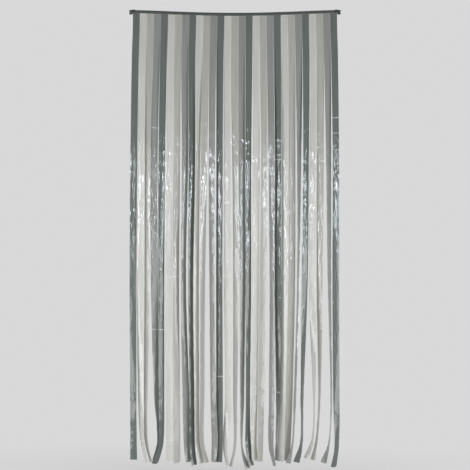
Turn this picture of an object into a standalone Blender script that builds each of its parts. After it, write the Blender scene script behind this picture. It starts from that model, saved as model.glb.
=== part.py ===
"""Door curtain: soft PVC strips hung by welded loops on a rod inside a bowed rail.

X runs along the rail, the viewer stands at -Y, and the wall is the plane Y = 0. The origin is
midway between the two fixing screws, at their height and on the wall.
"""

import math

import bmesh
import bpy
from mathutils import Matrix, Vector

# Strips
STRIP_COUNT = 29
STRIP_WIDTH = 0.0296
STRIP_SIDE_GAP = 0.00035
STRIP_THICKNESS = 0.0005
STRIP_DROP = 1.905
LOOP_WALL = 0.0006

# Rod and the room that a loop has round it
ROD_RADIUS = 0.002
RUNNING_CLEARANCE = 0.0003
ROD_ABOVE_LIP = 0.0034

# Rail
RAIL_HEIGHT = 0.0134
RAIL_DEPTH = 0.016
RAIL_WALL = 0.0012
RAIL_CORNER_RADIUS = 0.0016
RAIL_BEAD_HEIGHT = 0.005
RAIL_BEAD_RISE = 0.0005
RAIL_SAG = 0.0113
RAIL_ABOVE_SCREW = 0.001

# End brackets
SEAT_CLEARANCE = 0.0003
SLEEVE_LENGTH = 0.0102
SLEEVE_WALL = 0.002
END_WALL = 0.0026
ROD_SEAT_DEPTH = 0.0018
LUG_WIDTH = 0.0129
LUG_HEIGHT = 0.0194
LUG_THICKNESS = 0.005
LUG_CORNER_RADIUS = 0.0025

# Screws
SCREW_RADIUS = 0.00175
SCREW_HOLE_CLEARANCE = 0.00035
SCREW_HEAD_RADIUS = 0.0036
SCREW_HEAD_HEIGHT = 0.0024
SCREW_LENGTH = 0.025
SCREW_TIP = 0.004
RECESS_SPAN = 0.004
RECESS_WIDTH = 0.0009
RECESS_DEPTH = 0.0014

# How far a cutter runs past what it cuts, and how far pieces that are joined run into each other
OVERRUN = 0.002
JOIN_OVERLAP = 0.001

# Points closer than this are one
WELD_DISTANCE = 0.00001

# Facets
LOOP_SIDES = 10
BORE_SIDES = 16
SCREW_STEPS = 16
RAIL_STATIONS = 25
STRIP_ROWS = 16
CORNER_STEPS = 3

# Sizes that follow
STRIP_PITCH = STRIP_WIDTH + STRIP_SIDE_GAP
CLEAR_HALF = (STRIP_PITCH * STRIP_COUNT + STRIP_SIDE_GAP) / 2
FREE_HALF = CLEAR_HALF - SLEEVE_LENGTH
RAIL_HALF = CLEAR_HALF - SEAT_CLEARANCE
RAIL_Y = -(SLEEVE_WALL + SEAT_CLEARANCE + RAIL_DEPTH / 2)
RAIL_LIP_Z = RAIL_ABOVE_SCREW - RAIL_HEIGHT / 2
ROD_Z = RAIL_LIP_Z + ROD_ABOVE_LIP
BOW_POWER = 1.5
SCREW_X = CLEAR_HALF + END_WALL + LUG_WIDTH / 2

# The steepest slope of the bow, and the bore that leaves a level loop its clearance there
BOW_STEEPEST = RAIL_SAG * BOW_POWER / FREE_HALF
LOOP_SLACK = BOW_STEEPEST * STRIP_WIDTH / 2
LOOP_FACET_SHARE = math.cos(math.pi / LOOP_SIDES)
LOOP_BORE = (ROD_RADIUS + RUNNING_CLEARANCE + LOOP_SLACK) / LOOP_FACET_SHARE

# Where each strip was read, as shares of its drop below the rod
HEIGHT_SHARES = (0.0, 0.02, 0.105, 0.33, 0.6, 0.865, 0.955, 1.0)

# A strip's foot starts to lie back between these two of the heights, by this share of its whole way back
BACK_SHARES = (0, 0, 0, 0, 0, 0.5, 1, 1)

# How deep the strip's cross-section is cupped, as a share of its width, and where the cup begins and is full
CUP_SHARE = 0.05
CUP_START_SHARE = 0.02
CUP_FULL_SHARE = 0.2

# How far apart the two places are that give the strip's direction, and how much closer its rows lie at its ends
NEARBY_SHARE = 0.001
ROW_CROWDING_SHARE = 0.06

# One line a strip, from the left: how far it drifts sideways at the last six heights (shares of the pitch),
# how far it is turned there (degrees, positive brings its right edge forward), how far its foot lies back from
# the rod's plane (share of its width), and how much longer it hangs (share of its width)
STRIP_SHARES = (
    ((-0.17, -0.38, -0.49, -0.46, -0.43, -0.40), (0, 4, 6, 25, 20, 10), 0.0, -0.1),
    ((-0.17, -0.33, -0.42, -0.40, -0.15, 0.45), (0, 12, 12, 40, 55, 62), 0.0, 0.3),
    ((-0.17, -0.42, -0.50, -0.70, -0.62, 0.06), (8, 34, 40, 58, 62, 62), 0.0, 0.2),
    ((-0.17, -0.49, -0.44, -0.12, 0.25, -0.35), (-12, -8, -6, -53, -56, -35), 0.4, 0.0),
    ((-0.17, -0.41, -0.46, -0.43, -0.55, -1.40), (-12, -21, -34, -40, -42, -28), 0.0, 0.4),
    ((-0.17, -0.38, -0.38, -0.34, -0.32, -0.30), (0, 8, 6, 8, 8, 10), 0.0, 0.0),
    ((-0.16, -0.29, -0.36, -0.30, -0.27, -0.26), (0, -8, -35, -8, -6, -12), 0.0, 0.2),
    ((-0.15, -0.10, -0.31, 0.04, 0.17, 0.36), (-12, -29, -44, -16, -26, -44), 0.0, 0.0),
    ((-0.15, -0.12, -0.28, -0.11, -0.07, 0.23), (-12, -22, -45, -44, -38, -40), 0.0, 0.4),
    ((-0.15, -0.28, -0.49, -0.38, -0.28, 0.24), (-8, -50, -42, -49, -48, -40), 0.0, 0.15),
    ((-0.15, -0.40, -0.57, -0.65, -0.65, 0.0), (0, -22, -49, -53, -58, -45), 0.0, 0.0),
    ((-0.15, -0.32, -0.29, -0.07, 0.12, -0.06), (12, 28, 44, 34, 24, 50), 0.0, -0.1),
    ((-0.15, -0.20, -0.24, -0.20, -0.20, -0.28), (12, 22, 25, 18, 20, 25), 0.0, -0.1),
    ((-0.14, -0.10, -0.08, 0.05, -0.44, -0.03), (0, 6, 6, 15, 53, 60), 0.0, 0.4),
    ((-0.10, 0.04, 0.12, 0.0, -0.05, -0.64), (0, 32, 40, 60, 70, 65), 0.0, 0.5),
    ((-0.06, -0.02, 0.08, 0.04, 0.03, 0.85), (-12, -22, -36, -60, -72, -35), 0.0, 0.8),
    ((-0.04, -0.10, -0.10, -0.14, -0.10, 0.34), (-12, -34, -35, -53, -36, -40), 0.0, 0.4),
    ((-0.02, 0.02, -0.11, -0.26, -0.31, -0.17), (0, -8, -10, -20, -36, -35), 0.0, -0.3),
    ((0.02, 0.17, -0.06, -0.28, -0.40, -0.45), (0, -22, -18, -22, -33, -40), 0.0, -0.15),
    ((0.04, 0.19, 0.27, 0.19, 0.11, 0.60), (12, 30, 45, 40, 45, 66), 0.0, 0.5),
    ((0.05, 0.11, 0.11, 0.04, -0.15, -0.20), (12, 29, 20, 63, 77, 72), 0.0, -0.3),
    ((0.06, 0.08, 0.01, -0.30, -0.49, -0.58), (0, 20, 34, 34, 14, 20), 0.0, -0.1),
    ((0.08, 0.10, 0.05, -0.32, -0.51, -0.60), (0, -6, -8, -8, -24, -35), 0.0, -0.15),
    ((0.10, 0.13, -0.01, -0.50, -0.80, -1.44), (-12, -53, -70, -68, -72, -40), -0.5, 0.2),
    ((0.11, 0.11, -0.08, -0.46, -0.53, -1.27), (-12, -34, -32, -64, -64, -20), 0.0, 0.15),
    ((0.12, 0.08, -0.02, 0.22, 0.0, -0.92), (0, 26, 10, 75, 73, 35), 0.0, -0.3),
    ((0.13, 0.12, 0.01, -0.04, -0.44, -0.97), (0, 10, 34, 74, 73, 50), 0.0, -0.1),
    ((0.14, 0.32, 0.43, 0.70, 0.38, -0.43), (-12, -44, -60, -74, -72, -25), 0.0, 0.35),
    ((0.16, 0.35, 0.32, 0.42, 0.46, 0.02), (-10, -22, -12, -25, -48, -35), 0.0, 1.0),
)

# The colours repeat in this order along the rail
STRIP_COLOURS = ("charcoal", "white", "taupe", "grey")

# Colour, roughness and metallic value of each material
FINISHES = {
    "charcoal": ((0.110, 0.121, 0.115), 0.25, 0.0),
    "white": ((0.590, 0.600, 0.590), 0.25, 0.0),
    "taupe": ((0.400, 0.390, 0.370), 0.25, 0.0),
    "grey": ((0.205, 0.207, 0.200), 0.25, 0.0),
    "rail_plastic": ((0.052, 0.062, 0.055), 0.45, 0.0),
    "bracket_plastic": ((0.040, 0.045, 0.040), 0.5, 0.0),
    "steel": ((0.500, 0.500, 0.490), 0.35, 1.0),
}


def new_collection(name):
    """A collection of that name in the scene."""
    collection = bpy.data.collections.new(name)
    bpy.context.scene.collection.children.link(collection)
    return collection


def new_material(name):
    """A Principled material with the finish of that name."""
    colour, roughness, metallic = FINISHES[name]
    material = bpy.data.materials.new(name)
    material.use_nodes = True
    shader = material.node_tree.nodes["Principled BSDF"]
    shader.inputs["Base Color"].default_value = (*colour, 1.0)
    shader.inputs["Roughness"].default_value = roughness
    shader.inputs["Metallic"].default_value = metallic
    return material


def add_part(name, data, finish):
    """An object of the curtain, in its collection and with its own material."""
    part = bpy.data.objects.new(name, data)
    curtain.objects.link(part)
    data.materials.append(materials[finish])
    return part


def add_cutter(name, mesh):
    """A helper solid that a Boolean cuts with or joins on, left out of the render."""
    cutter = bpy.data.objects.new(name, mesh)
    cutters.objects.link(cutter)
    cutter.hide_render = True
    cutter.display_type = "WIRE"
    return cutter


def mesh_of(bm, name):
    """The bmesh as a mesh data block."""
    mesh = bpy.data.meshes.new(name)
    bm.to_mesh(mesh)
    bm.free()
    return mesh


def box_mesh(name, low, high):
    """A box between two corners."""
    low, high = Vector(low), Vector(high)
    bm = bmesh.new()
    bmesh.ops.create_cube(bm, size=1)
    middle, size = (low + high) / 2, high - low
    for vertex in bm.verts:
        vertex.co = middle + Vector(c * s for c, s in zip(vertex.co, size))
    return mesh_of(bm, name)


def cylinder_mesh(name, radius, length, sides, turn):
    """A cylinder about the origin, turned from Z by the matrix, with a facet on each of its four sides."""
    bm = bmesh.new()
    bmesh.ops.create_cone(
        bm, cap_ends=True, segments=sides, radius1=radius, radius2=radius, depth=length
    )
    half_facet = Matrix.Rotation(math.pi / sides, 3, "Z")
    for vertex in bm.verts:
        vertex.co = turn @ (half_facet @ vertex.co)
    return mesh_of(bm, name)


def smooth_mesh(mesh):
    """Smooth shading that keeps the corners sharp."""
    mesh.shade_smooth()
    mesh.set_sharp_from_angle(angle=math.radians(40))


def boolean(part, operation, other):
    """A Boolean modifier on the part."""
    modifier = part.modifiers.new(f"{operation.lower()} {other.name}", "BOOLEAN")
    modifier.operation = operation
    modifier.solver = "EXACT"
    modifier.object = other
    return modifier


def bow(x):
    """How far the rail and the rod hang down at x, between the sleeves that hold them straight."""
    share = min(abs(x) / FREE_HALF, 1)
    return RAIL_SAG * (1 - share**2) ** BOW_POWER


def bow_slope(x):
    """The steepness of the bow at x."""
    share = min(abs(x) / FREE_HALF, 1)
    return RAIL_SAG * 2 * BOW_POWER * share * math.sqrt(1 - share**2) / FREE_HALF


def path_curve(name, points):
    """A 3D curve along the points."""
    curve = bpy.data.curves.new(name, "CURVE")
    curve.dimensions = "3D"
    curve.twist_mode = "Z_UP"
    spline = curve.splines.new("POLY")
    spline.points.add(len(points) - 1)
    for point, place in zip(spline.points, points):
        point.co = (*place, 1)
    return curve


def arc(centre, radius, first, last):
    """Points on an arc between two angles, both ends included."""
    angles = [first + (last - first) * step / CORNER_STEPS for step in range(CORNER_STEPS + 1)]
    return [(centre[0] + radius * math.cos(a), centre[1] + radius * math.sin(a)) for a in angles]


def channel_outline(grow, below):
    """The outside of the rail from its back lip over the top to its front lip.

    It is grown outward by one length and runs below the lips by the other. A point is (towards the viewer, up),
    from the middle of the rail.
    """
    side, top, foot = RAIL_DEPTH / 2 + grow, RAIL_HEIGHT / 2 + grow, -RAIL_HEIGHT / 2 - below
    radius = RAIL_CORNER_RADIUS + grow
    points = [(-side, foot)]
    points += arc((radius - side, top - radius), radius, math.pi, math.pi / 2)
    points += arc((side - radius, top - radius), radius, math.pi / 2, 0)
    for share in (1, 0.5, 0, -0.5, -1):
        rise = RAIL_BEAD_RISE * (1 - share**2)
        points.append((side + rise, share * RAIL_BEAD_HEIGHT / 2))
    points.append((side, foot))
    return points


def mesh_from_curve(name, curve):
    """The curve as a welded mesh."""
    guide = add_cutter(f"{name}_curve", curve)
    bpy.context.view_layer.update()
    graph = bpy.context.evaluated_depsgraph_get()
    mesh = bpy.data.meshes.new_from_object(guide.evaluated_get(graph))
    bpy.data.objects.remove(guide)
    mesh.name = name
    bm = bmesh.new()
    bm.from_mesh(mesh)
    bmesh.ops.remove_doubles(bm, verts=bm.verts, dist=WELD_DISTANCE)
    bm.to_mesh(mesh)
    bm.free()
    return mesh


def plate(name, outline, thickness):
    """A filled outline in X and Y, extruded to its thickness about Z = 0."""
    curve = path_curve(name, [(x, y, 0) for x, y in outline])
    curve.dimensions = "2D"
    curve.fill_mode = "BOTH"
    curve.splines[0].use_cyclic_u = True
    curve.extrude = thickness / 2
    mesh = mesh_from_curve(name, curve)
    mesh.shade_flat()
    return mesh


def thicken(part, wall, side):
    """A Solidify modifier: side is -1 for a wall inside the sheet and 0 for one half to each side."""
    shell = part.modifiers.new("wall", "SOLIDIFY")
    shell.thickness = wall
    shell.offset = side
    shell.use_even_offset = True


def bowed_path(reach, height):
    """Points from -reach to reach at that height: straight in the sleeves, and in even steps along the bow."""
    steps = [2 * i / (RAIL_STATIONS - 1) - 1 for i in range(RAIL_STATIONS)]
    places = [-reach, *(FREE_HALF * step for step in steps), reach]
    return [(x, RAIL_Y, height - bow(x)) for x in places]


def add_rail():
    """The channel, swept as an open sheet along the bow between the brackets' end walls."""
    outline = path_curve("rail_outline", [(x, z, 0) for x, z in channel_outline(0, 0)])
    outline.dimensions = "2D"
    curve = path_curve("rail", bowed_path(RAIL_HALF, RAIL_ABOVE_SCREW))
    curve.bevel_mode = "OBJECT"
    curve.bevel_object = add_cutter("rail_outline", outline)
    mesh = mesh_from_curve("rail", curve)
    rail = add_part("rail", mesh, "rail_plastic")
    thicken(rail, RAIL_WALL, -1)
    smooth_mesh(mesh)


def add_rod():
    """The rod that the loops hang on, with its ends in the brackets."""
    reach = CLEAR_HALF + ROD_SEAT_DEPTH - SEAT_CLEARANCE
    curve = path_curve("hanging_rod", bowed_path(reach, ROD_Z))
    curve.bevel_depth = ROD_RADIUS
    curve.bevel_resolution = 2
    curve.use_fill_caps = True
    add_part("hanging_rod", curve, "steel")


def lug_outline(side):
    """The lug from where it joins the end wall, with its two outer corners rounded."""
    width, top = LUG_WIDTH + JOIN_OVERLAP, LUG_HEIGHT / 2
    centre = (width - LUG_CORNER_RADIUS, top - LUG_CORNER_RADIUS)
    upper = [(0, top), *arc(centre, LUG_CORNER_RADIUS, math.pi / 2, 0)]
    lower = [(x, -y) for x, y in reversed(upper)]
    return [(side * x, y) for x, y in upper + lower]


def add_bracket(name, side):
    """An end bracket: a block that sleeves the rail and seats the rod, and a lug for the screw."""
    inner, outer = CLEAR_HALF, CLEAR_HALF + END_WALL
    along_x = Matrix(((0, 0, -1), (-1, 0, 0), (0, 1, 0)))
    along_y = Matrix.Rotation(math.pi / 2, 3, "X")

    block_length, pocket_length = SLEEVE_LENGTH + END_WALL, SLEEVE_LENGTH + OVERRUN
    mesh = plate(name, channel_outline(SEAT_CLEARANCE + SLEEVE_WALL, 0), block_length)
    mesh.transform(along_x.to_4x4())
    bracket = add_part(name, mesh, "bracket_plastic")
    bracket.location = (side * (outer - block_length / 2), RAIL_Y, RAIL_ABOVE_SCREW)

    pocket_mesh = plate(f"{name}_pocket", channel_outline(SEAT_CLEARANCE, OVERRUN), pocket_length)
    pocket_mesh.transform(along_x.to_4x4())
    pocket = add_cutter(f"{name}_pocket", pocket_mesh)
    pocket.location = (side * (inner - pocket_length / 2), RAIL_Y, RAIL_ABOVE_SCREW)
    boolean(bracket, "DIFFERENCE", pocket)

    lug = add_cutter(f"{name}_lug", plate(f"{name}_lug", lug_outline(side), LUG_THICKNESS))
    lug.location = (side * (outer - JOIN_OVERLAP), -LUG_THICKNESS / 2, 0)
    lug.rotation_euler = (math.pi / 2, 0, 0)
    boolean(bracket, "UNION", lug)

    seat_length = ROD_SEAT_DEPTH + OVERRUN
    seat_mesh = cylinder_mesh(f"{name}_rod_seat", ROD_RADIUS + SEAT_CLEARANCE, seat_length, BORE_SIDES, along_x)
    seat = add_cutter(f"{name}_rod_seat", seat_mesh)
    seat.location = (side * (inner + ROD_SEAT_DEPTH - seat_length / 2), RAIL_Y, ROD_Z)
    boolean(bracket, "DIFFERENCE", seat)

    hole_radius, hole_length = SCREW_RADIUS + SCREW_HOLE_CLEARANCE, LUG_THICKNESS + 2 * OVERRUN
    hole_mesh = cylinder_mesh(f"{name}_screw_hole", hole_radius, hole_length, BORE_SIDES, along_y)
    hole = add_cutter(f"{name}_screw_hole", hole_mesh)
    hole.location = (side * SCREW_X, -LUG_THICKNESS / 2, 0)
    boolean(bracket, "DIFFERENCE", hole)


def screw_mesh(name):
    """Half the screw's outline, from the top of its head to its tip, for a Screw modifier to turn."""
    head = [(0, 1), (0.5, 0.94), (0.85, 0.68), (1, 0.3), (1, 0)]
    points = [(SCREW_HEAD_RADIUS * across, SCREW_HEAD_HEIGHT * up) for across, up in head]
    points += [(SCREW_RADIUS, 0), (SCREW_RADIUS, SCREW_TIP - SCREW_LENGTH), (0, -SCREW_LENGTH)]
    bm = bmesh.new()
    corners = [bm.verts.new((across, 0, up)) for across, up in points]
    for first, last in zip(corners, corners[1:]):
        bm.edges.new((first, last))
    return mesh_of(bm, name)


def add_screw(name, side):
    """A pan-head screw through the lug, with a cross recess."""
    screw = add_part(name, screw_mesh(name), "steel")
    screw.location = (side * SCREW_X, -LUG_THICKNESS - SEAT_CLEARANCE, 0)
    screw.rotation_euler = (math.pi / 2, 0, 0)
    turned = screw.modifiers.new("turned", "SCREW")
    turned.steps = turned.render_steps = SCREW_STEPS
    turned.use_merge_vertices = True
    turned.merge_threshold = WELD_DISTANCE
    turned.use_smooth_shade = True
    head_front = -LUG_THICKNESS - SEAT_CLEARANCE - SCREW_HEAD_HEIGHT
    for arm, (across, up) in {"wide": (RECESS_SPAN, RECESS_WIDTH), "tall": (RECESS_WIDTH, RECESS_SPAN)}.items():
        low = (side * SCREW_X - across / 2, head_front - OVERRUN, -up / 2)
        high = (side * SCREW_X + across / 2, head_front + RECESS_DEPTH, up / 2)
        cutter = add_cutter(f"{name}_{arm}_recess", box_mesh(f"{name}_{arm}_recess", low, high))
        boolean(screw, "DIFFERENCE", cutter)


def between_heights(values, share):
    """A value read at HEIGHT_SHARES, as a smooth curve through all of them."""
    last = len(values) - 1
    index = max(i for i in range(last) if HEIGHT_SHARES[i] <= share)

    def steepness(i):
        """The slope through the neighbours of reading i."""
        before, after = max(i - 1, 0), min(i + 1, last)
        return (values[after] - values[before]) / (HEIGHT_SHARES[after] - HEIGHT_SHARES[before])

    step = HEIGHT_SHARES[index + 1] - HEIGHT_SHARES[index]
    t = (share - HEIGHT_SHARES[index]) / step
    start, end = values[index], values[index + 1]
    return (
        start * (1 + 2 * t) * (1 - t) ** 2
        + end * (3 - 2 * t) * t**2
        + step * steepness(index) * t * (1 - t) ** 2
        - step * steepness(index + 1) * (1 - t) * t**2
    )


def ribbon_mesh(name, shares, neck):
    """The strip below its loop, as a grid moved onto its course: a sheet that Solidify thickens.

    neck is how far below the rod's axis the sheet starts. The mesh's origin is on that axis.
    """
    drift_shares, turn_degrees, back_share, longer_share = shares
    drift_shares, turn_degrees = (0, 0, *drift_shares), (0, 0, *turn_degrees)
    drop = STRIP_DROP + longer_share * STRIP_WIDTH

    def course(share):
        """The middle of the strip at this share of its drop."""
        drift = between_heights(drift_shares, share) * STRIP_PITCH
        back = between_heights(BACK_SHARES, share) * back_share * STRIP_WIDTH
        return Vector((drift, back, -share * drop))

    bm = bmesh.new()
    bmesh.ops.create_grid(bm, x_segments=2, y_segments=STRIP_ROWS, size=0.5)
    top_share = neck / drop
    for vertex in bm.verts:
        across, down_share = vertex.co.x * 2, 0.5 - vertex.co.y
        crowded = down_share - ROW_CROWDING_SHARE * math.sin(2 * math.pi * down_share)
        share = top_share + (1 - top_share) * crowded
        before, after = max(share - NEARBY_SHARE, 0), min(share + NEARBY_SHARE, 1)
        down = (course(after) - course(before)).normalized()
        turn = math.radians(between_heights(turn_degrees, share))
        edge = Vector((math.cos(turn), -math.sin(turn), 0))
        edge = (edge - down * edge.dot(down)).normalized()
        front = down.cross(edge)
        full = min(max((share - CUP_START_SHARE) / (CUP_FULL_SHARE - CUP_START_SHARE), 0), 1)
        cup = CUP_SHARE * STRIP_WIDTH * full * (0.5 - across**2)
        vertex.co = course(share) + edge * across * STRIP_WIDTH / 2 + front * cup
    return mesh_of(bm, name)


def add_strip(number):
    """A strip with its welded loop round the rod. Its origin is on the axis that it swings about."""
    name = f"strip_{number + 1:02d}"
    x = (number - (STRIP_COUNT - 1) / 2) * STRIP_PITCH
    # A level loop rests on the rod, and one on a slope needs that room for its ends
    low = (BOW_STEEPEST - bow_slope(x)) * STRIP_WIDTH / 2
    neck = low + (LOOP_BORE + LOOP_WALL / 2) * LOOP_FACET_SHARE
    mesh = ribbon_mesh(name, STRIP_SHARES[number % len(STRIP_SHARES)], neck)
    part = add_part(name, mesh, STRIP_COLOURS[number % len(STRIP_COLOURS)])
    part.location = (x, RAIL_Y, ROD_Z - bow(x))
    thicken(part, STRIP_THICKNESS, 0)
    for what, operation, shape in (("loop", "UNION", loop_shape), ("bore", "DIFFERENCE", bore_shape)):
        other = add_cutter(f"{name}_{what}", shape)
        other.location = part.location - Vector((0, 0, low))
        boolean(part, operation, other)
    smooth_mesh(mesh)


for obj in list(bpy.data.objects):
    bpy.data.objects.remove(obj)
curtain = new_collection("door_curtain")
cutters = new_collection("cutters")
materials = {name: new_material(name) for name in FINISHES}

add_rail()
add_rod()
for place, side in (("left", -1), ("right", 1)):
    add_bracket(f"{place}_end_bracket", side)
    add_screw(f"{place}_screw", side)

along_rail = Matrix.Rotation(math.pi / 2, 3, "Y")
loop_shape = cylinder_mesh("loop", LOOP_BORE + LOOP_WALL, STRIP_WIDTH, LOOP_SIDES, along_rail)
bore_shape = cylinder_mesh("bore", LOOP_BORE, STRIP_WIDTH + 2 * OVERRUN, LOOP_SIDES, along_rail)
for number in range(STRIP_COUNT):
    add_strip(number)
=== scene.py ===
# %% [markdown]
# # A door curtain of soft PVC strips
#
# The curtain is 29 ribbons of glossy soft PVC in four colours. Each has a welded loop at its head, and
# the loops hang on a thin rod inside a dark plastic rail that sags a little between its screwed ends.
#
# The engineering model is loaded first and stays as it is: it says where every piece is and how it moves.
# The cells below dress it with finer pieces and finishes, in the same place and at the same size.

# %% Load the model that the pieces are fitted to
import math
import random

import bpy
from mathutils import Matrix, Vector


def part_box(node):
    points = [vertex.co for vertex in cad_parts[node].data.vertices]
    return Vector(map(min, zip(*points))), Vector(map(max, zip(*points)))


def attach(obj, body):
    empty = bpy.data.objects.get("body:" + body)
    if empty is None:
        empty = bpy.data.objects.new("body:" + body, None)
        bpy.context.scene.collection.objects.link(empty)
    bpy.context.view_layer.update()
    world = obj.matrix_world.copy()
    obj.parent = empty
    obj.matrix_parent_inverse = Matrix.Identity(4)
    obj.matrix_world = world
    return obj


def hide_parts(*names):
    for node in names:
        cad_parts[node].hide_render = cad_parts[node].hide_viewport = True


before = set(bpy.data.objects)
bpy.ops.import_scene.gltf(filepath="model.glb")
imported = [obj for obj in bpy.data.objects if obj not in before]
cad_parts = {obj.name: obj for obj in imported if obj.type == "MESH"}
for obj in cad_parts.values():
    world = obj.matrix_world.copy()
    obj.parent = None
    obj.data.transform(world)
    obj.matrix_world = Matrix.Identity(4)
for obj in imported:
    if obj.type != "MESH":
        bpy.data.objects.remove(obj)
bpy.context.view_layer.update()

rail_low, rail_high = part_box("rail")
print(f"{len(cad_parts)} CAD nodes; the rail is {rail_high.x - rail_low.x:.4f} m long")

# %% [markdown]
# ## Small habits
#
# An operator acts on all that is selected, so `pick` leaves one object selected before any of them runs.
# `dress` gives a finished piece its material, and says which body of the model carries it.

# %% Helpers for every piece
def pick(*objs):
    """Leaves only these objects selected, with the last of them active."""
    bpy.ops.object.select_all(action="DESELECT")
    for obj in objs:
        obj.select_set(True)
        bpy.context.view_layer.objects.active = obj


def apply_modifiers(obj):
    """Applies every modifier of the object, in order."""
    pick(obj)
    for modifier in list(obj.modifiers):
        bpy.ops.object.modifier_apply(modifier=modifier.name)


def dress(piece, body, finish, slot, *nodes):
    """The piece takes the finish, rides on the body and stands for the CAD nodes."""
    piece.data.materials.clear()
    piece.data.materials.append(finish)
    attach(piece, body)
    if nodes:
        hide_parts(*nodes)


# %% [markdown]
# ## Finishes
#
# A finish is a small tree of nodes on a Principled shader. What is the same all over, such as the index
# of refraction, is typed on the shader itself. What changes from place to place, such as streaks and
# smudges, comes from noise. A picture could do that too, but it would repeat and blur, and noise doesn't.

# %% A node, and a new finish
def node(tree, kind, **inputs):
    """A node of that kind, its inputs set to a value or joined to another node's output."""
    made = tree.nodes.new(kind)
    for name, value in inputs.items():
        key = name.replace("_", " ")
        if hasattr(made, name) and key not in made.inputs:
            setattr(made, name, value)
        elif isinstance(value, bpy.types.NodeSocket):
            tree.links.new(value, made.inputs[key])
        else:
            made.inputs[key].default_value = value
    return made


def new_finish(name, roughness, metallic=0.0):
    """A material with a Principled shader, its node tree and that shader."""
    material = bpy.data.materials.new(name)
    material.use_nodes = True
    tree = material.node_tree
    shader = tree.nodes["Principled BSDF"]
    shader.inputs["Roughness"].default_value = roughness
    shader.inputs["Metallic"].default_value = metallic
    return material, tree, shader


# %% [markdown]
# ### Steps of a recipe
#
# A tree of nodes is hard to read when every socket is joined by hand. Each of these helpers adds one step
# and gives back its output, so that a finish below reads like a recipe: noise over a place, spread
# between two values, tints a colour or raises a relief.

# %% One helper for each step
def combine(tree, operation, first, second):
    """Two outputs added, multiplied or otherwise combined by a Math node."""
    made = node(tree, "ShaderNodeMath", operation=operation)
    tree.links.new(first, made.inputs[0])
    tree.links.new(second, made.inputs[1])
    return made.outputs["Value"]


def noise(tree, place, stretch, detail, roughness=0.5):
    """Noise whose grains per metre are given along each axis of the place."""
    pulled = node(tree, "ShaderNodeMapping", Vector=place, Scale=stretch).outputs["Vector"]
    grains = node(tree, "ShaderNodeTexNoise", Vector=pulled, Scale=1.0, Detail=detail, Roughness=roughness)
    return grains.outputs["Fac"]


def spread(tree, value, start, end, least, most):
    """The value, mapped from between start and end to between least and most."""
    made = node(
        tree, "ShaderNodeMapRange", Value=value, From_Min=start, From_Max=end, To_Min=least, To_Max=most
    )
    return made.outputs["Result"]


def tint(tree, colour, tone):
    """The colour, made lighter or darker by the tone."""
    made = node(tree, "ShaderNodeVectorMath", operation="SCALE", Scale=tone)
    made.inputs[0].default_value = colour
    return made.outputs["Vector"]


def relief(tree, pattern, height, under=None):
    """The normals of a relief that is that high in metres, laid over the one under it, if any."""
    made = node(tree, "ShaderNodeBump", Height=pattern, Strength=1.0, Distance=height)
    if under:
        tree.links.new(under, made.inputs["Normal"])
    return made.outputs["Normal"]


print("steps: combine, noise, spread, tint and relief")

# %% [markdown]
# ### Soft PVC
#
# The strips are extruded, so faint streaks run along them, and the film is never quite flat: it was
# rolled and folded for its box, which left long dents and a fine orange peel. These break up what the
# gloss reflects, so it shows as glints in place of one clean mirror. Along each fold, the colour is
# painted lighter, towards white: a painted highlight for the glint that a fold catches. All patterns
# follow the strip's own UV map, in metres, however it twists. Noise on Object coordinates would be
# simpler, but would cut through a twisted strip at a slant.

# %% PVC finish
PVC_INDEX = 1.62
PVC_ROUGHNESS = (0.03, 0.11)
STREAKS = (420, 3.5, 1)
SMUDGES = (60, 6, 1)
SMUDGE_RANGE = (0.35, 0.65)
UNEVEN_RANGE = (0.7, 1.3)
DENTS = (((55, 14, 1), 0.0024), ((130, 45, 1), 0.0009), ((420, 160, 1), 0.00004))
# The colour of the painted highlight along the folds.
FOLD_GLINT_WHITE = (0.86, 0.89, 0.93, 1)


def pvc(name, colour, streak):
    """Glossy soft PVC of that colour. streak is how much lighter or darker its streaks are."""
    material, tree, shader = new_finish(name, sum(PVC_ROUGHNESS) / 2)
    shader.inputs["IOR"].default_value = PVC_INDEX
    along = node(tree, "ShaderNodeUVMap", uv_map="along_strip").outputs["UV"]
    smudges = noise(tree, along, SMUDGES, 3.0)
    uneven = combine(tree, "ADD", noise(tree, along, STREAKS, 4.0), smudges)
    dyed = tint(tree, colour, spread(tree, uneven, *UNEVEN_RANGE, 1 - streak, 1 + streak))
    tree.links.new(spread(tree, smudges, *SMUDGE_RANGE, *PVC_ROUGHNESS), shader.inputs["Roughness"])

    # Painted highlight: along the folds the colour is mixed towards white, standing in for the glint a fold
    # catches.
    fold_and_glint = node(tree, "ShaderNodeMix", data_type="RGBA")
    fold_glint = node(tree, "ShaderNodeAttribute", attribute_name="fold_glint").outputs["Fac"]
    factor, plain, white = (fold_and_glint.inputs[i] for i in (0, 6, 7))
    tree.links.new(fold_glint, factor)
    tree.links.new(dyed, plain)
    white.default_value = FOLD_GLINT_WHITE
    tree.links.new(fold_and_glint.outputs[2], shader.inputs["Base Color"])

    normal = None
    for stretch, height in DENTS:
        normal = relief(tree, noise(tree, along, stretch, 2.0, 0.45), height, normal)
    tree.links.new(normal, shader.inputs["Normal"])
    return material


finishes = {
    "charcoal": pvc("charcoal_pvc", (0.116, 0.136, 0.121), 0.10),
    "white": pvc("white_pvc", (0.595, 0.588, 0.542), 0.06),
    "taupe": pvc("taupe_pvc", (0.440, 0.432, 0.388), 0.07),
    "grey": pvc("grey_pvc", (0.272, 0.277, 0.256), 0.08),
}
print("PVC finishes:", ", ".join(finishes))

# %% [markdown]
# ### Rail, brackets and metal
#
# The rail and its end brackets are satin plastic. Fine lines run along the extruded rail, and the moulded
# brackets have a fine grain instead. The rod is zinc-plated steel, a little uneven in its gloss, and the
# screws' zinc has gone dull. One recipe serves all four: noise in Object coordinates, which is stretched
# along X for the rail's drawn lines and is even for a moulded or plated grain.

# %% Hard finishes
GRAIN_RANGE = (0.3, 0.7)
TONES = (0.88, 1.12)
SMEAR = 0.06


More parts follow.
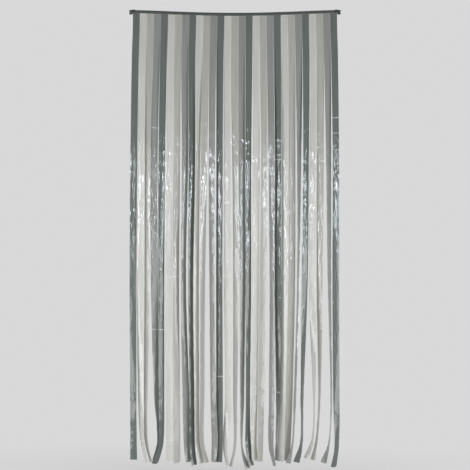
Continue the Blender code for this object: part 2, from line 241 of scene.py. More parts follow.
def hard(name, colour, roughness, stretch, height, metallic=0.0):
    """Plastic or metal. stretch is its grains per metre along X, Y and Z, and height is their relief."""
    material, tree, shader = new_finish(name, roughness, metallic)
    place = node(tree, "ShaderNodeTexCoord").outputs["Object"]
    grain = noise(tree, place, stretch, 4.0)
    tone = spread(tree, grain, *GRAIN_RANGE, *TONES)
    gloss = spread(tree, grain, *GRAIN_RANGE, roughness - SMEAR, roughness + SMEAR)
    tree.links.new(tint(tree, colour, tone), shader.inputs["Base Color"])
    tree.links.new(gloss, shader.inputs["Roughness"])
    tree.links.new(relief(tree, grain, height), shader.inputs["Normal"])
    return material


finishes["rail"] = hard("rail_satin_plastic", (0.060, 0.070, 0.062), 0.42, (6, 900, 900), 0.00003)
finishes["bracket"] = hard(
    "bracket_moulded_plastic", (0.045, 0.051, 0.046), 0.5, (1500, 1500, 1500), 0.00003
)
finishes["rod"] = hard("zinc_plated_steel", (0.58, 0.59, 0.58), 0.32, (400, 400, 400), 0.00002, 1.0)
finishes["screw"] = hard("dulled_zinc_steel", (0.20, 0.205, 0.20), 0.38, (700, 700, 700), 0.00002, 1.0)
print(len(finishes), "finishes in all")

# %% [markdown]
# ## Strips
#
# A strip is one flat ribbon, cut to length. Its head is folded back over the rod and welded to the strip,
# so it makes a drop-shaped loop with a short doubled tail behind. Below the loop it hangs free, and as it
# is soft it drifts, twists and curls a little differently from its neighbours.
#
# A cloth simulation could hang it, but each strip has to hang where it does in the engineering model,
# which has the same course in a few rows of points. Reading those rows back, and running a smooth curve
# through them, gives a finer sheet that never leaves its place.

# %% The rows of a CAD strip
ROW_POINTS = 6
HEAD_DEPTH = 0.03


def cad_rows(name):
    """The rows below a CAD strip's head, from the top: each one's middle, and its direction to the right."""
    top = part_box(name)[1].z
    places = {tuple(round(c, 6) for c in vertex.co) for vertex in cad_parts[name].data.vertices}
    places = sorted((Vector(p) for p in places if p[2] < top - HEAD_DEPTH), key=lambda p: -p.z)
    rows, across = [], Vector((1, 0, 0))
    for start in range(0, len(places), ROW_POINTS):
        row = places[start : start + ROW_POINTS]
        a, b = max(((p, q) for p in row for q in row), key=lambda pair: (pair[0] - pair[1]).length)
        if (b - a).dot(across) < 0:
            a, b = b, a
        row.sort(key=lambda p: p.dot(b - a))
        left, middle, right = ((row[i] + row[i + 1]) / 2 for i in (0, 2, 4))
        across = (right - left).normalized()
        rows.append(((left + right) / 4 + middle / 2, across))
    return rows


strips = sorted(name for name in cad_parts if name.startswith("strip_"))
print(f"{len(strips)} strips, {len(cad_rows(strips[0]))} rows in the first")

# %% [markdown]
# ### The welded head
#
# Seen from its end, the head is a drop: a round over the rod, and two straight sides that meet at the
# weld. A plain ring would need a sharp bend there. Tangents from the weld to the round give the drop
# without a kink. The path starts at the cut end of the tail, goes up behind the strip, over the rod and
# down the front.

# %% The head's path, as (behind, above) the rod's axis
LOOP_RADIUS = 0.00325
LOOP_TOP = 0.00346
WELD_DROP = 0.0055
TAIL_DROP = 0.0125
TAIL_BEHIND = 0.00042
TAIL_STEPS = 5
ROUND_STEPS = 20
FRONT_SHARES = (0.75, 0.5, 0.25)


def head_path():
    """Points from the end of the tail, up over the rod, down to the weld."""
    turn = math.acos(LOOP_RADIUS / WELD_DROP)
    tail_step = (TAIL_DROP - WELD_DROP) / TAIL_STEPS
    points = [(TAIL_BEHIND, -TAIL_DROP + step * tail_step) for step in range(TAIL_STEPS + 1)]
    for step in range(ROUND_STEPS + 1):
        angle = -math.pi / 2 + turn + step * (2 * math.pi - 2 * turn) / ROUND_STEPS
        points.append((LOOP_RADIUS * math.cos(angle), LOOP_RADIUS * math.sin(angle)))
    behind, above = points[-1]
    points += [(behind * share, above + (-WELD_DROP - above) * (1 - share)) for share in FRONT_SHARES]
    return points


HEAD_PATH = head_path()
head_length = sum(math.dist(a, b) for a, b in zip(HEAD_PATH, HEAD_PATH[1:] + [(0, -WELD_DROP)]))
print(f"the head takes {head_length * 1000:.1f} mm of the sheet")

# %% [markdown]
# ### The course below the weld
#
# From the weld down, a strip is described by stations: how far down the sheet a row of the model is, where
# its middle is and how far it is turned. Straight lines between the rows would show as creases, so
# `smooth` runs a curve through them, with the slope at each row taken from the rows on both sides.

# %% A smooth curve through the rows
WIDTH = 0.0296
PITCH = 0.02995
MIDDLE_STRIP = (len(strips) + 1) // 2


def course(number, name):
    """The place of the strip's loop, and the stations, middles and turns of its rows."""
    rows = cad_rows(name)
    axis = Vector(((number - MIDDLE_STRIP) * PITCH, rows[0][0].y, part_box(name)[1].z - LOOP_TOP))
    middles = [axis + Vector((0, 0, -WELD_DROP))] + [middle for middle, across in rows]
    turns = [0.0] + [math.atan2(-across.y, across.x) for middle, across in rows]
    stations = [0.0]
    for a, b in zip(middles, middles[1:]):
        stations.append(stations[-1] + (b - a).length)
    return axis, stations, middles, turns


def smooth(stations, values, s):
    """The value at s on a smooth curve through the values at the stations."""
    last = len(stations) - 1
    i = max(j for j in range(last) if stations[j] <= s or j == 0)
    step = stations[i + 1] - stations[i]
    t = (s - stations[i]) / step

    def slope(j):
        before, after = max(j - 1, 0), min(j + 1, last)
        return (values[after] - values[before]) / (stations[after] - stations[before])

    return (
        values[i] * ((1 + 2 * t) * (1 - t) ** 2)
        + values[i + 1] * ((3 - 2 * t) * t**2)
        + slope(i) * (step * t * (1 - t) ** 2)
        - slope(i + 1) * (step * (1 - t) * t**2)
    )


samples = (1, MIDDLE_STRIP, len(strips))
for number in samples:
    stations = course(number, strips[number - 1])[1]
    print(f"strip {number} hangs {stations[-1]:.3f} m below its weld, in {len(stations)} stations")

# %% [markdown]
# ### The rows of the sheet
#
# The finer sheet has a row every few millimetres. Some places need closer rows: just under the weld, where
# the two layers come together, at the folds, and at the feet of the few strips that are cut with a
# rounded corner. A fine grid everywhere would do as well, but it would make the sheets many times heavier.

# %% Where the rows are, and where each strip was folded, in metres below the screws
FOLDS = {
    4: (0.49, 1.349),
    5: (1.349,),
    6: (1.1205, 1.127, 1.819),
    7: (1.1205,),
    13: (1.54,),
    18: (1.585, 1.617),
    21: (0.54, 0.60, 0.62, 1.61),
    29: (0.45, 0.515, 0.585, 0.757),
}
ROD_BELOW_SCREWS = 0.009
LEFT, RIGHT = -1, 1
ROUNDED_FEET = {5: (RIGHT, 0.018), 6: (LEFT, 0.014), 7: (RIGHT, 0.014), 29: (RIGHT, 0.013)}
WELD_ROWS = (0.0, 0.0003, 0.0006, 0.0009, 0.0012, 0.0025)
FIRST_ROW = 0.005
ROW_STEP = 0.007
FOLD_STEP = 0.0012
FOLD_STEPS = 6
FOLD_ROOM = 0.008
FOOT_ROOM = 0.004
FOOT_ANGLES = range(0, 91, 9)


def row_places(end, folds, radius):
    """How far down the sheet each row is, for a sheet with that end, those folds and that foot radius."""
    even = [FIRST_ROW + ROW_STEP * i for i in range(int(end / ROW_STEP))]
    places = [s for s in (*WELD_ROWS, *even) if s < end - FOOT_ROOM]
    places = [s for s in places if all(abs(s - fold) > FOLD_ROOM for fold in folds)]
    places += [fold + step * FOLD_STEP for fold in folds for step in range(-FOLD_STEPS, FOLD_STEPS + 1)]
    places.append(end)
    if radius:
        places = [s for s in places if s < end - radius]
        places += [end - radius * (1 - math.sin(math.radians(angle))) for angle in FOOT_ANGLES]
    return sorted(places)


print(f"{len(FOLDS)} strips were folded, and {len(ROUNDED_FEET)} have a rounded foot")

# %% [markdown]
# ### Waves
#
# Hanging film is never still or even, and no two strips shine alike. Sculpting could give each its own
# form, but 29 strips would take long, so a few sines are added up, with lengths and phases drawn from a
# seed. The same seed draws the same numbers each time, so the curtain is the same on every run.

# %% A ramp, and waves that differ from strip to strip
def ramp(value, start, end):
    """0 before start, 1 after end, and smooth between them."""
    t = min(max((value - start) / (end - start), 0), 1)
    return t * t * (3 - 2 * t)


def waves(rng, count, shortest, longest, height):
    """A function of length: a sum of sines with seeded lengths and phases, about that high."""
    parts = [(rng.uniform(shortest, longest), rng.uniform(0, 2 * math.pi)) for _ in range(count)]
    scale = height / count**0.5
    return lambda s: scale * sum(math.sin(2 * math.pi * s / length + phase) for length, phase in parts)


print(f"half-way along its ramp a value is at {ramp(0.5, 0, 1):.2f}")

# %% [markdown]
# ### The section of the sheet
#
# The section is laid across the course at each row. It is a shallow arch, because film that was wound on a
# roll keeps a curl, and the weld holds it flat for the first few centimetres. Ripples run along the film,
# its edges wave, and a flutter turns it to and fro. A fold is a low ridge across it. All of it is a
# formula of how far down and how far across a point is, so the sheet can have any number of points.

# %% Folds and sections
COLUMNS = 8
ARCH = 0.00148
FLAT_UNTIL = 0.03
FREE_FROM = 0.3
SLOPE_REACH = 0.001
FOLD_REACH = 0.0018
FOLD_DEPTH = 0.0005
FOLD_SLANT = 0.0016
FOLD_SEED = 300


def strip_sheet(number, name):
    """The sheet's rows of points from left to right, its length up to each row, and its painted fold
    highlights.
    """
    rng = random.Random(number)
    axis, stations, middles, turns = course(number, name)
    end = stations[-1]
    ripple = waves(rng, 5, shortest=0.045, longest=0.16, height=0.0002)
    flutter = waves(rng, 4, shortest=0.06, longest=0.25, height=0.02)
    edge = waves(rng, 4, shortest=0.03, longest=0.08, height=0.00022)
    slant = random.Random(FOLD_SEED + number).uniform(-FOLD_SLANT, FOLD_SLANT)
    folds = [depth - ROD_BELOW_SCREWS for depth in FOLDS.get(number, ())]
    side, radius = ROUNDED_FEET.get(number, (0, 0))
    columns = [2 * column / COLUMNS - 1 for column in range(COLUMNS + 1)]

    def fold_and_glint(s, u):
        """1 on the line of a fold, and 0 away from it. The line runs across the strip at a slight slant."""
        return min(sum(math.exp(-(((s - fold + slant * u) / FOLD_REACH) ** 2)) for fold in folds), 1)

    def section(s):
        """The points of the sheet's cross-section at that station."""
        middle = smooth(stations, middles, s)
        above = smooth(stations, middles, max(s - SLOPE_REACH, 0))
        down = (smooth(stations, middles, min(s + SLOPE_REACH, end)) - above).normalized()
        free = ramp(s, FLAT_UNTIL, FREE_FROM)
        turn = smooth(stations, turns, s) + flutter(s) * free
        across = Vector((math.cos(turn), -math.sin(turn), 0))
        across = (across - down * across.dot(down)).normalized()
        front = down.cross(across)
        rounded = max(s - end + radius, 0) / radius if side else 0
        inset = 2 * radius / WIDTH * (1 - math.sqrt(max(1 - rounded**2, 0)))
        points = []
        for u in columns:
            # A rounded foot pulls the columns in from its side, and hardly moves those at the other edge.
            u -= side * inset * (1 + side * u) / 2
            lift = ARCH * free * (0.5 - u * u) + ripple(s) * free + edge(s) * free * u**3
            lift += FOLD_DEPTH * fold_and_glint(s, u) * (1 - 0.5 * u * u)
            points.append(middle + across * (u * WIDTH / 2) + front * lift)
        return points

    places = row_places(end, folds, radius)
    sheet = [[axis + Vector((WIDTH * u / 2, behind, above)) for u in columns] for behind, above in HEAD_PATH]
    sheet += [section(s) for s in places]
    # How much painted highlight each point gets: none in the head, and most on the line of a fold.
    glint_marks = [[0.0] * len(columns) for point in HEAD_PATH]
    glint_marks += [[fold_and_glint(s, u) for u in columns] for s in places]
    lengths, half = [0.0], COLUMNS // 2
    for a, b in zip(sheet, sheet[1:]):
        lengths.append(lengths[-1] + (b[half] - a[half]).length)
    return sheet, lengths, glint_marks


for number in samples:
    sheet, lengths, glint_marks = strip_sheet(number, strips[number - 1])
    print(f"sheet {number} has {len(sheet)} rows and is cut {lengths[-1]:.3f} m long")

# %% [markdown]
# ### Laying the sheets
#
# A grid is added with as many columns and rows as the sheet has points, and each point is then moved to
# its place, so the faces and the UV map come with it. The UV map is then set to metres across and along
# the strip, and shifted so that each strip has its own part of the noise. An attribute keeps how much
# painted highlight each point gets along the folds, varied at random from column to column. Solidify
# gives the film its thickness last, because one layer is far easier to shape.

# %% Make the 29 sheets
SHEET = 0.0004
FILM_ANGLE = math.radians(30)
COLOURS = ("charcoal", "white", "taupe", "grey")
PATTERN_SHIFT = (0.37, 2.3)
# The seed and the range of the painted fold highlight's strength, which varies across the width.
GLINT_SEED = 500
GLINT_RANGE = (0.1, 0.75)


def lay_sheet(number, name):
    """One strip's film, still without a thickness, and its cut length."""
    sheet, lengths, glint_marks = strip_sheet(number, name)
    last = len(sheet) - 1
    bpy.ops.mesh.primitive_grid_add(x_subdivisions=COLUMNS, y_subdivisions=last, size=1)
    piece = bpy.context.object
    piece.name = piece.data.name = f"{name}_sheet"
    patchy = random.Random(GLINT_SEED + number)
    # How strongly each column takes the painted highlight along the folds, drawn at random.
    column_glint = [patchy.uniform(*GLINT_RANGE) for column in range(COLUMNS + 1)]
    where, point_glints = [], []
    for vertex in piece.data.vertices:
        column, row = round((vertex.co.x + 0.5) * COLUMNS), round((vertex.co.y + 0.5) * last)
        vertex.co = sheet[row][column]
        point_glints.append(glint_marks[row][column] * column_glint[column])
        across, along = PATTERN_SHIFT[0] * number, PATTERN_SHIFT[1] * number
        where.append((WIDTH * column / COLUMNS + across, lengths[row] + along))
    uv = piece.data.uv_layers[0]
    uv.name = "along_strip"
    for loop in piece.data.loops:
        uv.data[loop.index].uv = where[loop.vertex_index]
    # The attribute carries the painted fold highlight to the PVC finish.
    piece.data.attributes.new("fold_glint", "FLOAT", "POINT").data.foreach_set("value", point_glints)
    return piece, lengths[-1]


faces = 0
for number, name in enumerate(strips, 1):
    piece, cut_length = lay_sheet(number, name)
    film = piece.modifiers.new("film", "SOLIDIFY")
    film.thickness, film.offset = SHEET, 0
    apply_modifiers(piece)
    bpy.ops.object.shade_smooth_by_angle(angle=FILM_ANGLE)
    colour = COLOURS[(number - 1) % len(COLOURS)]
    dress(piece, name, finishes[colour], colour, name)
    faces += len(piece.data.polygons)
print(f"{len(strips)} sheets of {faces} faces; the last is cut {cut_length:.3f} m long")

# %% [markdown]
# ## Rail
#
# The rail is an extruded channel, open below so that the strips can hang out of it. A profile swept along
# a curve would do, but a box is easier to follow: one of the rail's size, round the X axis, loses its
# floor and its ends. Its long top corners are rounded, and a soft bead runs along the front: five cuts
# give the bead its points, and the middle three move forward.

# %% A way to choose faces, edges or vertices by their place
def choose(obj, kind, test):
    """Selects, in edit mode, what passes the test of its middle and its corners, and counts it."""
    bpy.ops.object.mode_set(mode="EDIT")
    bpy.ops.mesh.select_mode(type={"vertices": "VERT", "edges": "EDGE", "polygons": "FACE"}[kind])
    bpy.ops.mesh.select_all(action="DESELECT")
    bpy.ops.object.mode_set(mode="OBJECT")
    points = [v.co for v in obj.data.vertices]
    found = 0
    for item in getattr(obj.data, kind):
        corners = [item.co] if kind == "vertices" else [points[i] for i in item.vertices]
        item.select = bool(test(sum(corners, Vector()) / len(corners), corners))
        found += item.select
    bpy.ops.object.mode_set(mode="EDIT")
    return found


# %% A straight channel with a bead
RAIL_HEIGHT = 0.0134
RAIL_DEPTH = 0.016
RAIL_CORNER = 0.0016
BEAD_HALF = 0.0025
BEAD_RISE = 0.0005
BEAD_SHARES = ((-1, 0), (-0.5, 0.75), (0, 1), (0.5, 0.75), (1, 0))
NEAR = 0.0001
rail_half = rail_high.x
rail_top = RAIL_HEIGHT / 2
bpy.ops.mesh.primitive_cube_add(size=1, scale=(2 * rail_half, RAIL_DEPTH, RAIL_HEIGHT))
rail = bpy.context.object
rail.name = rail.data.name = "rail_channel"
bpy.ops.object.transform_apply(location=False, rotation=False, scale=True)


def is_open_side(place, corners):
    """True for the floor and the two ends."""
    return place.z < -0.9 * rail_top or abs(place.x) > 0.9 * rail_half


opened = choose(rail, "polygons", is_open_side)
bpy.ops.mesh.delete(type="FACE")
rounded = choose(
    rail, "edges", lambda place, corners: place.z > 0.9 * rail_top and abs(place.x) < 0.1 * rail_half
)
bpy.ops.mesh.bevel(offset=RAIL_CORNER, segments=4)
bead = {BEAD_HALF * level: BEAD_RISE * rise for level, rise in BEAD_SHARES}
for level in bead:
    bpy.ops.mesh.select_all(action="SELECT")
    bpy.ops.mesh.bisect(plane_co=(0, 0, level), plane_no=(0, 0, 1))
for level, rise in bead.items():
    choose(rail, "vertices", lambda place, corners: place.y < 0 and abs(place.z - level) < NEAR)
    bpy.ops.transform.translate(value=(0, -rise, 0))
bpy.ops.object.mode_set(mode="OBJECT")
print(f"{opened} sides opened, {rounded} corners rounded, {len(rail.data.polygons)} faces")

# %% [markdown]
# ### The sag
#
# The real rail is straight when it is new, and sags under the strips. So the channel is made straight and
# bent last. A Curve modifier lays it along a guide: level inside the end brackets, which hold it, and
# sagging between them. The guide is stretched to the piece, so its length stays right. The same helper
# bends the rod later.

# %% A guide that sags
SAG = 0.0113
SAG_POWER = 1.5
SLEEVE = 0.0102
FIT = 0.0003
RAIL_Y = -0.0103
STATIONS = 56


def lay_along_sag(piece, reach, height):
    """Bends the piece along a curve that sags as the rail does, at that height, from -reach to reach."""
    free = rail_half + FIT - SLEEVE
    data = bpy.data.curves.new("guide", "CURVE")
    data.dimensions, data.twist_mode = "3D", "Z_UP"
    data.use_stretch = data.use_deform_bounds = True
    spline = data.splines.new("POLY")
    spline.points.add(STATIONS)
    for i, point in enumerate(spline.points):
        x = reach * (2 * i / STATIONS - 1)
        share = min(abs(x) / free, 1)
        point.co = (x, RAIL_Y, height - SAG * (1 - share * share) ** SAG_POWER, 1)
    guide = bpy.data.objects.new("guide", data)
    bpy.context.scene.collection.objects.link(guide)
    bend = piece.modifiers.new("bend", "CURVE")
    bend.object, bend.deform_axis = guide, "POS_X"
    apply_modifiers(piece)
    bpy.data.objects.remove(guide)


def compare(piece, node_name):
    """Prints the piece's box beside the model's."""
    bpy.context.view_layer.update()
    corners = [piece.matrix_world @ Vector(corner) for corner in piece.bound_box]
    mine = [[round(end(corner[i] for corner in corners), 4) for i in range(3)] for end in (min, max)]
    model = [[round(c, 4) for c in corner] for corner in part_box(node_name)]
    print(piece.name, mine, "model", model)


# %% [markdown]
# ### Cut, thicken and bend
#
# Only a mesh with cuts across it can bend, so the long edges are cut first. Solidify then gives the channel
# a wall inside its faces, and a Bevel breaks its cut edges a little, because a sawn rail is deburred. The
# bend comes last, so that the wall is equally thick all along.

# %% The rail's wall and bend
RAIL_WALL = 0.0012
RAIL_RIM = 0.00025
HARD_ANGLE = math.radians(35)
cut = choose(rail, "edges", lambda place, corners: abs(corners[0].x - corners[1].x) > rail_half)
bpy.ops.mesh.subdivide(number_cuts=STATIONS - 1)
bpy.ops.mesh.select_all(action="SELECT")
bpy.ops.mesh.normals_make_consistent(inside=False)
bpy.ops.object.mode_set(mode="OBJECT")
wall = rail.modifiers.new("wall", "SOLIDIFY")
wall.thickness, wall.offset, wall.use_even_offset = RAIL_WALL, -1, True
rim = rail.modifiers.new("rim", "BEVEL")
rim.width, rim.segments, rim.limit_method, rim.angle_limit = RAIL_RIM, 2, "ANGLE", math.radians(60)
apply_modifiers(rail)
lay_along_sag(rail, rail_half, rail_high.z - rail_top)
bpy.ops.object.shade_smooth_by_angle(angle=HARD_ANGLE)
dress(rail, "rail_assembly", finishes["rail"], "rail_plastic", "rail")
print(f"{cut} long edges cut into {STATIONS}, {len(rail.data.polygons)} faces")
compare(rail, "rail")

# %% [markdown]
# ## Rod
#
# The rod is plain drawn steel, 4 mm thick. A curve with a round bevel would make it too, but its ends are
# chamfered, and a cylinder has edges there to bevel. The cylinder is laid along X and cut across so that
# it can sag with the rail. Its ends sit in the seats of the end brackets.

# %% The rod
ROD_RADIUS = 0.002
ROD_SEAT = 0.0018
ROD_UNDER_TOP = 0.01
ROD_CHAMFER = 0.0004
rod_half = rail_half + ROD_SEAT
bpy.ops.mesh.primitive_cylinder_add(
    vertices=24, radius=ROD_RADIUS, depth=2 * rod_half, rotation=(0, math.pi / 2, 0)
)
rod = bpy.context.object
rod.name = rod.data.name = "rod"
bpy.ops.object.transform_apply(location=False, rotation=True, scale=False)
choose(rod, "edges", lambda place, corners: abs(place.x) > 0.9 * rod_half)
bpy.ops.mesh.bevel(offset=ROD_CHAMFER, segments=2)
choose(rod, "edges", lambda place, corners: abs(corners[0].x - corners[1].x) > rail_half)
bpy.ops.mesh.subdivide(number_cuts=STATIONS - 1)
bpy.ops.object.mode_set(mode="OBJECT")
lay_along_sag(rod, rod_half, rail_high.z - ROD_UNDER_TOP)
bpy.ops.object.shade_smooth_by_angle(angle=HARD_ANGLE)
dress(rod, "rail_assembly", finishes["rod"], "steel", "hanging_rod")
compare(rod, "hanging_rod")

# %% [markdown]
# ## End brackets
#
# Each bracket is one moulding: a block that sleeves the rail's end, with a lug for the screw. It could be
# built again from a cube, but the model has its exact form already, only with sharp edges. A moulded
# piece has none, so a copy of it is merged, its flat faces are joined and its edges are rounded by a small
# radius.

# %% Round the edges of the brackets
BRACKET_EDGE = 0.0004
MERGE = 0.00001
for side in ("left", "right"):
    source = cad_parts[f"{side}_end_bracket"]
    bracket = bpy.data.objects.new(f"{side}_bracket_moulding", source.data.copy())
    bpy.context.scene.collection.objects.link(bracket)
    pick(bracket)
    bpy.ops.object.mode_set(mode="EDIT")
    bpy.ops.mesh.select_all(action="SELECT")
    bpy.ops.mesh.remove_doubles(threshold=MERGE)
    bpy.ops.mesh.dissolve_limited(angle_limit=math.radians(2))
    bpy.ops.object.mode_set(mode="OBJECT")
    soft_edges = bracket.modifiers.new("soft edges", "BEVEL")
    soft_edges.width, soft_edges.segments = BRACKET_EDGE, 3
    soft_edges.limit_method, soft_edges.angle_limit = "ANGLE", math.radians(50)
    apply_modifiers(bracket)
    bpy.ops.object.shade_smooth_by_angle(angle=HARD_ANGLE)
    dress(bracket, "rail_assembly", finishes["bracket"], "bracket_plastic", f"{side}_end_bracket")
    compare(bracket, f"{side}_end_bracket")
    print(len(bracket.data.polygons), "faces")

# %% [markdown]
# ## Screws
#
# Each bracket is held by one pan-head wood screw. One screw is modelled along Z with its head up, and is
# then turned, copied and put in its place. The head is a disc with a rounded front rim. A screwdriver's
# cross would be slow to draw by hand, so two tapered blades are cut out of the head instead, as the real
# head is struck by a punch of that form.

# %% Head and recess
HEAD_RADIUS = 0.0036
HEAD_HEIGHT = 0.0024
HEAD_ROUND = 0.0015
BLADE = (0.0046, 0.0012, 0.003)
BLADE_TAPER = 0.45
bpy.ops.mesh.primitive_cylinder_add(
    vertices=48, radius=HEAD_RADIUS, depth=HEAD_HEIGHT, location=(0, 0, HEAD_HEIGHT / 2)
)
screw = bpy.context.object
screw.name = screw.data.name = "screw"
bpy.ops.object.transform_apply(location=True, rotation=False, scale=False)
choose(screw, "edges", lambda place, corners: min(c.z for c in corners) > 0.9 * HEAD_HEIGHT)
bpy.ops.mesh.bevel(offset=HEAD_ROUND, segments=8, profile=0.6)
bpy.ops.object.mode_set(mode="OBJECT")
blades = []
for quarter in (0, math.pi / 2):
    bpy.ops.mesh.primitive_cube_add(
        size=1, location=(0, 0, HEAD_HEIGHT), rotation=(0, 0, quarter), scale=BLADE
    )
    blade = bpy.context.object
    bpy.ops.object.transform_apply(location=True, rotation=True, scale=True)
    choose(blade, "vertices", lambda place, corners: place.z < HEAD_HEIGHT)
    bpy.ops.transform.resize(value=(BLADE_TAPER, BLADE_TAPER, 1))
    bpy.ops.object.mode_set(mode="OBJECT")
    blades.append(blade)
for blade in blades:
    recess = screw.modifiers.new("recess", "BOOLEAN")
    recess.object, recess.operation, recess.solver = blade, "DIFFERENCE", "EXACT"
apply_modifiers(screw)
for blade in blades:
    bpy.data.objects.remove(blade)
print(len(screw.data.polygons), "faces in the head")

# %% [markdown]
# ### Shank and thread
#
# The shank is a cylinder that ends in a cone. Its thread is a real ridge, because a bump would leave the
# outline smooth: a small triangle stands beside the shank, and the Screw modifier winds it upwards. The
# two ends of the ridge are then closed.

# %% Shank, tip and thread
SHANK = 0.00135
THREAD = 0.00175
RIDGE = 0.0003
SCREW_TIP = 0.004
SCREW_LENGTH = 0.025
THREAD_START = 0.0045
THREAD_PITCH = 0.0013
TURNS = 15
straight = SCREW_LENGTH - SCREW_TIP
bpy.ops.mesh.primitive_cylinder_add(vertices=32, radius=SHANK, depth=straight, location=(0, 0, -straight / 2))
shank = bpy.context.object
bpy.ops.mesh.primitive_cone_add(
    vertices=32, radius1=0, radius2=SHANK, depth=SCREW_TIP, location=(0, 0, -straight - SCREW_TIP / 2)
)
tip = bpy.context.object
bpy.ops.mesh.primitive_circle_add(
    vertices=3, radius=RIDGE, fill_type="NGON", location=(THREAD - RIDGE, 0, THREAD_START - SCREW_LENGTH),
    rotation=(math.pi / 2, math.pi / 2, 0),
)
ridge = bpy.context.object
bpy.ops.object.transform_apply(location=True, rotation=True, scale=True)
wind = ridge.modifiers.new("wind", "SCREW")
wind.angle, wind.screw_offset, wind.iterations = 2 * math.pi, THREAD_PITCH, TURNS
wind.steps = wind.render_steps = 24
apply_modifiers(ridge)
pick(shank, tip, ridge, screw)
bpy.ops.object.join()
bpy.ops.object.mode_set(mode="EDIT")
bpy.ops.mesh.select_all(action="SELECT")
bpy.ops.mesh.fill_holes(sides=3)
bpy.ops.mesh.select_all(action="SELECT")
bpy.ops.mesh.normals_make_consistent(inside=False)
bpy.ops.object.mode_set(mode="OBJECT")
bpy.ops.object.shade_smooth_by_angle(angle=HARD_ANGLE)
print(len(screw.data.polygons), "faces in the screw")

# %% [markdown]
# ### Driving them in
#
# Each bracket gets its own copy of the screw, with its own mesh. It is turned so that its head faces the
# front, moved to the middle of the model's screw, and the turn and the move are applied to the mesh.

# %% A screw in each bracket
for side in ("left", "right"):
    node_low, node_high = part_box(f"{side}_screw")
    fitted = screw if side == "right" else screw.copy()
    if fitted is not screw:
        fitted.data = screw.data.copy()
        bpy.context.scene.collection.objects.link(fitted)
    fitted.name = fitted.data.name = f"{side}_threaded_screw"
    fitted.rotation_euler = (math.pi / 2, 0, 0)
    middle = (node_low + node_high) / 2
    fitted.location = (middle.x, node_low.y + HEAD_HEIGHT, middle.z)
    pick(fitted)
    bpy.ops.object.transform_apply(location=True, rotation=True, scale=False)
    dress(fitted, "rail_assembly", finishes["screw"], "steel", f"{side}_screw")
    compare(fitted, f"{side}_screw")

# %% [markdown]
# ## Floor and background
#
# The photograph is taken straight on, and a pale tone shows between the strips. The floor and the world
# have that tone wherever a ray shows them: to the camera, in gloss and through glass. A bright world
# could give it too, but it would wash out the strips, so for every other ray the world is only a soft,
# warm fill. Near the curtain the floor is partly lit by the lamps, so that it keeps a soft shadow.

# %% Floor and world
PALE = (0.69, 0.69, 0.695, 1)
FLOOR_HEIGHT = -1.985
FLOOR_SIZE = 30
FLOOR_GREY = (0.8, 0.8, 0.8, 1)
SHADOW_REACH = (0.3, 1.7)
SHADOW_GLOW = (1.12, 1.0)
SHADOW_SHARE = (0.45, 1.0)
FILL = (1.0, 0.97, 0.92, 1)
FILL_STRENGTH = 0.26


def seen(tree):
    """1 for a ray that shows the background, straight, in gloss or through glass, and 0 for others."""
    rays = node(tree, "ShaderNodeLightPath").outputs
    gloss = combine(tree, "MAXIMUM", rays["Is Camera Ray"], rays["Is Glossy Ray"])
    return combine(tree, "MAXIMUM", gloss, rays["Is Transmission Ray"])


def blend(tree, share, lit, shown, output):
    """Joins a mix of two shaders to the output, with that share of the second."""
    mix = node(tree, "ShaderNodeMixShader", Fac=share)
    tree.links.new(lit, mix.inputs[1])
    tree.links.new(shown, mix.inputs[2])
    tree.links.new(mix.outputs["Shader"], tree.nodes[output].inputs["Surface"])


bpy.ops.mesh.primitive_plane_add(size=FLOOR_SIZE, location=(0, 0, FLOOR_HEIGHT))
floor = bpy.context.object
floor.name = "floor"
material, tree, shader = new_finish("pale_floor", 0.9)
shader.inputs["Base Color"].default_value = FLOOR_GREY
away = node(tree, "ShaderNodeVectorMath", operation="LENGTH")
tree.links.new(node(tree, "ShaderNodeTexCoord").outputs["Object"], away.inputs[0])
away = away.outputs["Value"]
bright = spread(tree, away, *SHADOW_REACH, *SHADOW_GLOW)
glow = node(tree, "ShaderNodeEmission", Color=PALE, Strength=bright)
share = combine(tree, "MULTIPLY", seen(tree), spread(tree, away, *SHADOW_REACH, *SHADOW_SHARE))
blend(tree, share, shader.outputs["BSDF"], glow.outputs["Emission"], "Material Output")
floor.data.materials.append(material)

world = bpy.data.worlds.new("studio")
bpy.context.scene.world = world
world.use_nodes = True
tree = world.node_tree
pale = tree.nodes["Background"]
pale.inputs["Color"].default_value = PALE
fill = node(tree, "ShaderNodeBackground", Color=FILL, Strength=FILL_STRENGTH)
blend(tree, seen(tree), fill.outputs["Background"], pale.outputs["Background"], "World Output")
print("floor at", FLOOR_HEIGHT, "and a fill of", FILL_STRENGTH)

# %% [markdown]
# ## Light
#
# Daylight from a tall window makes the glints half-way down the strips, with plain tones above and below.
# One big window in front would mirror as a single block. The strips are turned to all sides, so narrow
# panes stand in front and at both sides instead, as high as the glints are to show. A soft key and two
# side boxes light the lower half from low down, and one lamp keeps the back from going dark.

# %% Soft boxes
DAYLIGHT = (0.86, 0.92, 1.0)
SKYLIGHT = (0.84, 0.91, 1.0)
WARM = (1.0, 0.99, 0.98)
NEUTRAL = (1.0, 1.0, 1.0)


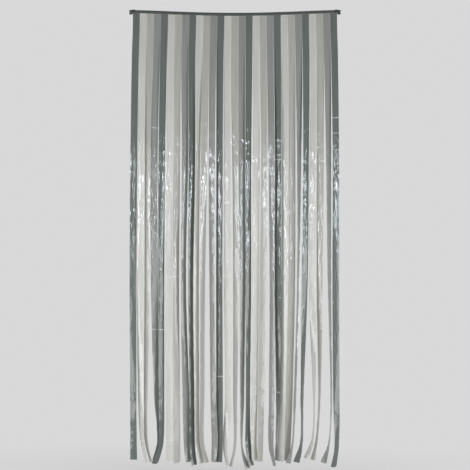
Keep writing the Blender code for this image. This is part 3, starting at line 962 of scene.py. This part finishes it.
def soft_box(name, place, target, width, height, watts, colour):
    """An area light at the place, facing the target, that the camera doesn't see."""
    lamp = bpy.data.lights.new(name, "AREA")
    lamp.shape, lamp.size, lamp.size_y = "RECTANGLE", width, height
    lamp.energy, lamp.color = watts, colour
    light = bpy.data.objects.new(name, lamp)
    bpy.context.scene.collection.objects.link(light)
    light.location = place
    light.rotation_euler = (Vector(target) - Vector(place)).to_track_quat("-Z", "Y").to_euler()
    light.visible_camera = False


soft_box("key", (0, -1.9, -1.55), (0, 0, -1.6), 0.9, 0.95, 4, WARM)
soft_box("narrow_window", (-0.75, -2.2, -0.78), (0, 0, -1.05), 0.04, 0.56, 4.0, DAYLIGHT)
soft_box("second_window", (0.55, -2.2, -0.80), (0, 0, -1.05), 0.04, 0.52, 4.0, DAYLIGHT)
for side, name in ((LEFT, "left"), (RIGHT, "right")):
    soft_box(f"{name}_near_pane", (side * 1.7, -1.6, -0.79), (0, 0, -1.9), 0.10, 0.58, 7.3, SKYLIGHT)
    soft_box(f"{name}_far_pane", (side * 2.25, -1.05, -0.83), (0, 0, -2.1), 0.12, 0.62, 8.0, SKYLIGHT)
    soft_box(f"{name}_side", (side * 2.2, -1.2, -1.5), (0, 0, -2.0), 1.3, 0.9, 13, WARM)
soft_box("back_light", (0.6, 2.6, -0.8), (0, 0, -0.95), 1.2, 1.6, 16, NEUTRAL)
print(len(bpy.data.lights), "soft boxes")

# %% [markdown]
# ## Camera
#
# The rail's ends show no side walls in the photograph, so it was taken from far away and straight on. The
# camera stands 9 m off, level with the middle of the drop, and its lens is as long as that distance and
# the width of the frame ask for.

# %% Camera
DISTANCE = 9.0
FRAME_WIDTH = 2.0
CAMERA_HEIGHT = -0.9486
camera = bpy.data.cameras.new("camera")
camera.sensor_width = 36
camera.lens = camera.sensor_width * DISTANCE / FRAME_WIDTH
view = bpy.data.objects.new("camera", camera)
bpy.context.scene.collection.objects.link(view)
view.location = (0, RAIL_Y - DISTANCE, CAMERA_HEIGHT)
view.rotation_euler = (math.pi / 2, 0, 0)
bpy.context.scene.camera = view
bpy.context.scene.view_settings.view_transform = "Standard"
print(f"camera with a {camera.lens:.0f} mm lens")
